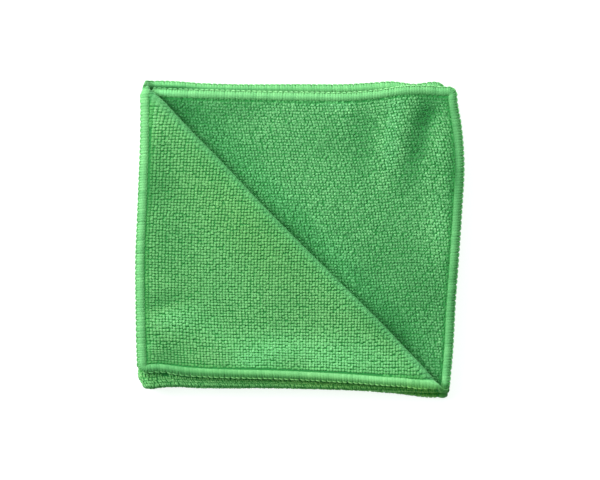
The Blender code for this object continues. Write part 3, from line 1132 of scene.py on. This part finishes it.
class Finish:
    """A material, with one Principled shader and methods that add nodes to it."""

    def __init__(self, name, **fixed):
        self.material = bpy.data.materials.new(name)
        self.material.use_nodes = True
        self.nodes = self.material.node_tree.nodes
        self.links = self.material.node_tree.links
        self.shader = self.nodes["Principled BSDF"]
        for socket, value in fixed.items():
            self.shader.inputs[socket.replace("_", " ")].default_value = value

    def feed(self, socket, value):
        if isinstance(value, Socket):
            self.links.new(value.output, socket)
        else:
            socket.default_value = value

    def node(self, kind, settings=None, inputs=None, output=0):
        made = self.nodes.new("ShaderNode" + kind)
        for name, value in (settings or {}).items():
            setattr(made, name, value)
        for key, value in (inputs or {}).items():
            self.feed(made.inputs[key], value)
        return Socket(self, made.outputs[output])

    def number(self, name):
        return self.node("Attribute", {"attribute_name": name}, output="Fac")

    def vector(self, name):
        return self.node("Attribute", {"attribute_name": name}, output="Vector")

    def mix(self, share, first, second):
        inputs = {0: share, 6: first, 7: second}
        return self.node("Mix", {"data_type": "RGBA"}, inputs, output=2)

    def vector_mix(self, share, first, second):
        inputs = {0: share, 4: first, 5: second}
        return self.node("Mix", {"data_type": "VECTOR"}, inputs, output=1)

    def lit(self, colour, light, painted_light):
        """A colour with painted light and shade, made lighter or darker, with red and blue
        following as the tables say.
        """
        deep = light * painted_light.maths("MINIMUM", painted_light, 1.0)
        sheen = painted_light.maths("MAXIMUM", painted_light, 1.0)
        light = light * painted_light
        tints = {name: self.number(name) for name in TINTS}

        def channel(follow):
            tinted = 1.0
            for name, tint in tints.items():
                tinted = tinted + follow[name] * tint
            return light * deep ** follow["deep"] * sheen ** follow["sheen"] * tinted

        channels = {"X": channel(RED), "Y": light, "Z": channel(BLUE)}
        by = self.node("CombineXYZ", {}, channels)
        return self.node("VectorMath", {"operation": "MULTIPLY"}, {0: colour, 1: by})

    def noise(self, place, scale, detail):
        return self.node("TexNoise", {}, {"Vector": place, "Scale": scale, "Detail": detail})

    def use(self, socket, value):
        self.feed(self.shader.inputs[socket], value)

    def bump(self, height, distance, strength, normal=None):
        inputs = {"Height": height, "Distance": distance, "Strength": strength}
        if normal is not None:
            inputs["Normal"] = normal
        self.use("Normal", self.node("Bump", {}, inputs))


# %% [markdown]
# ### Loops
#
# A loop is painted palest at its top, as painted light where the fibres spread and catch the
# light, and deep green at its foot, as painted shade in the pits between the loops. Loops differ
# a little from each other, and the pile has soft painted lighter and darker areas, painted light
# and shade where it was brushed one way or the other and where the crease and the folds shade it.

# %% The loops' finish
CREASE_GREEN = (0.110, 0.385, 0.155, 1)
# painted light: the feet of the loops are painted lighter where the painted light is pale
CLOSED = 1.2  # how far the feet fill with light where the nap is pale, and its loops lie closed


def terry_finish(name, foot, top, uneven, speckled):
    """uneven is how much the loops differ, and speckled how much the fibres in a loop do."""
    finish = Finish(
        name, Roughness=0.95, Sheen_Weight=0.25, Sheen_Roughness=0.45,
        Sheen_Tint=(0.6, 1.0, 0.65, 1), Specular_IOR_Level=0.2,
    )
    place_here = finish.node("TexCoord", output="Object")
    tip, tone_and_painted_light = finish.number("tip"), finish.number("tone_and_painted_light")
    cloud = finish.noise(place_here, 28.0, 1.0)
    painted_light = finish.number("painted_light")
    # painted shade at the feet of the loops, painted light at their tops
    colour = finish.mix(tip ** 1.5, foot, top)
    colour = finish.mix(finish.number("crease") * 0.6, colour, CREASE_GREEN)
    grain = finish.noise(place_here, 1300.0, 1.0)
    light = 1.0 + uneven * tone_and_painted_light + 0.35 * (cloud - 0.5) + speckled * (grain - 0.5)
    # painted light in the pits where the painted light is pale
    lighter = painted_light.maths("MAXIMUM", painted_light, 0.9) - 0.9
    light = light + lighter * (0.75 - tip) * CLOSED
    finish.use("Base Color", finish.lit(colour, light, painted_light))
    # Fuzz scatters light, so a loop is shaded more like the cloth than like a smooth tube
    shape = finish.node("NewGeometry", output="Normal")
    fuzzy = finish.vector_mix(0.5, shape, finish.vector("outward"))
    fuzzy = finish.node("VectorMath", {"operation": "NORMALIZE"}, {0: fuzzy})
    finish.bump(finish.noise(place_here, 5000.0, 3.0), 0.0003, 0.5, fuzzy)
    return finish.material


TERRY = terry_finish(
    "terry_loops", foot=(0.045, 0.310, 0.068, 1), top=(0.180, 0.495, 0.202, 1),
    uneven=0.05, speckled=1.9,
)
FLAP_TERRY = terry_finish(
    "terry_flap_loops", foot=(0.045, 0.310, 0.060, 1), top=(0.193, 0.500, 0.188, 1),
    uneven=0.035, speckled=0.6,
)
# painted shade: the folded sides lie low and in shade, so their loops are painted a duller, more
# olive green
SHADED_SIDE_TERRY = terry_finish(
    "terry_side_loops_painted_shade", foot=(0.092, 0.372, 0.090, 1), top=(0.178, 0.478, 0.170, 1),
    uneven=0.05, speckled=1.5,
)
for piece, finish in zip(pile, (FLAP_TERRY, TERRY, SHADED_SIDE_TERRY, TERRY)):
    piece.data.materials.append(finish)

# %% [markdown]
# ### Ground and yarn
#
# Little of the ground shows: its dark ribs between the loops, and under the stitches and just
# inside the band a painted shade in the yarn's deeper green. The ribs follow the open cloth
# through its folds, so they read the sheet's own map. The overlock yarn is thicker than the
# pile's and lies smooth, so it is paler and less rough; where its strands dip low it takes the
# same painted shade.

# %% The ground's finish
YARN_GREEN = (0.208, 0.565, 0.222, 1)
# painted shade: the yarn's green where it lies low, in the gaps between strands and in the recess
# beside the band
YARN_PAINTED_SHADE = (0.080, 0.370, 0.085, 1)


def ground_finish():
    finish = Finish("knitted_ground", Roughness=0.95, Specular_IOR_Level=0.2)
    weave = finish.node("UVMap", {"uv_map": "Weave"})
    rib = finish.node(
        "TexWave", {"wave_type": "BANDS", "bands_direction": "X"},
        {"Vector": weave, "Scale": 120.0, "Distortion": 1.0},
    )
    colour = finish.mix(rib, (0.03, 0.24, 0.055, 1), (0.045, 0.28, 0.075, 1))
    colour = finish.mix(finish.number("crease") * 0.7, colour, CREASE_GREEN)
    # painted shade near the band, under the stitches and in the recess beside them
    colour = finish.mix(finish.number("hem_painted_shade"), colour, YARN_PAINTED_SHADE)
    finish.use("Base Color", colour)
    finish.bump(rib, 0.0002, 0.5)
    return finish.material


ground.data.materials.clear()
ground.data.materials.append(ground_finish())


# %% The yarn's finish
def yarn_finish():
    finish = Finish(
        "edge_yarn", Roughness=0.75, Sheen_Weight=0.2, Sheen_Roughness=0.4,
        Specular_IOR_Level=0.3,
    )
    place_here = finish.node("TexCoord", output="Object")
    # painted shade where the yarn lies low, its own green where it stands proud
    colour = finish.mix(finish.number("tip"), YARN_PAINTED_SHADE, YARN_GREEN)
    light = 1.0 + 0.06 * finish.number("tone_and_painted_light")
    finish.use("Base Color", finish.lit(colour, light, finish.number("painted_light")))
    finish.bump(finish.noise(place_here, 4000.0, 3.0), 0.0003, 0.5)
    return finish.material


YARN = yarn_finish()
for piece in edge:
    piece.data.materials.append(YARN)

# %% [markdown]
# ## Floor, light and camera
#
# The photograph is taken from straight above, in soft light from the left and a little from the
# top. The light that fills the shade is green, as if it had met the cloth before. The floor is
# white: it glows by itself until it is just burnt out, and still takes a faint shadow.

# %% The floor
start_piece()
bpy.ops.mesh.primitive_plane_add(size=8)
floor = bpy.context.object
floor.name = "floor"
paper = Finish("white_paper", Roughness=0.9, Specular_IOR_Level=0.0)
paper.use("Base Color", (0.35, 0.35, 0.35, 1))
paper.use("Emission Color", (1, 1, 1, 1))
paper.use("Emission Strength", 0.85)
floor.data.materials.append(paper.material)

# %% The light
world = bpy.data.worlds.new("studio")
bpy.context.scene.world = world
world.use_nodes = True
world.node_tree.nodes["Background"].inputs["Color"].default_value = (0.45, 1.0, 0.62, 1)
world.node_tree.nodes["Background"].inputs["Strength"].default_value = 0.32


def soft_box(name, place_at, size, power):
    lamp = bpy.data.lights.new(name, "AREA")
    lamp.size = size
    lamp.energy = power
    box = bpy.data.objects.new(name, lamp)
    bpy.context.scene.collection.objects.link(box)
    box.location = place_at
    towards = -box.location
    box.rotation_euler = towards.to_track_quat("-Z", "Y").to_euler()
    box.visible_camera = False


soft_box("window", (-1.15, 0.45, 0.75), 0.8, 27.0)
soft_box("far_side", (0.1, 1.3, 0.60), 1.4, 20.0)
bpy.context.scene.view_settings.view_transform = "Standard"

# %% The camera
LENS = 300.0
SENSOR = 36.0
VIEW_WIDTH = 0.2922  # metres across the picture, at the height of the packet's middle
MIDDLE_HEIGHT = 0.008
eye = bpy.data.cameras.new("camera")
eye.lens, eye.sensor_width = LENS, SENSOR
eye.clip_start, eye.clip_end = 0.1, 20
camera = bpy.data.objects.new("camera", eye)
bpy.context.scene.collection.objects.link(camera)
camera.location = (0, 0, MIDDLE_HEIGHT + VIEW_WIDTH * LENS / SENSOR)
bpy.context.scene.camera = camera

# %% The end
import json
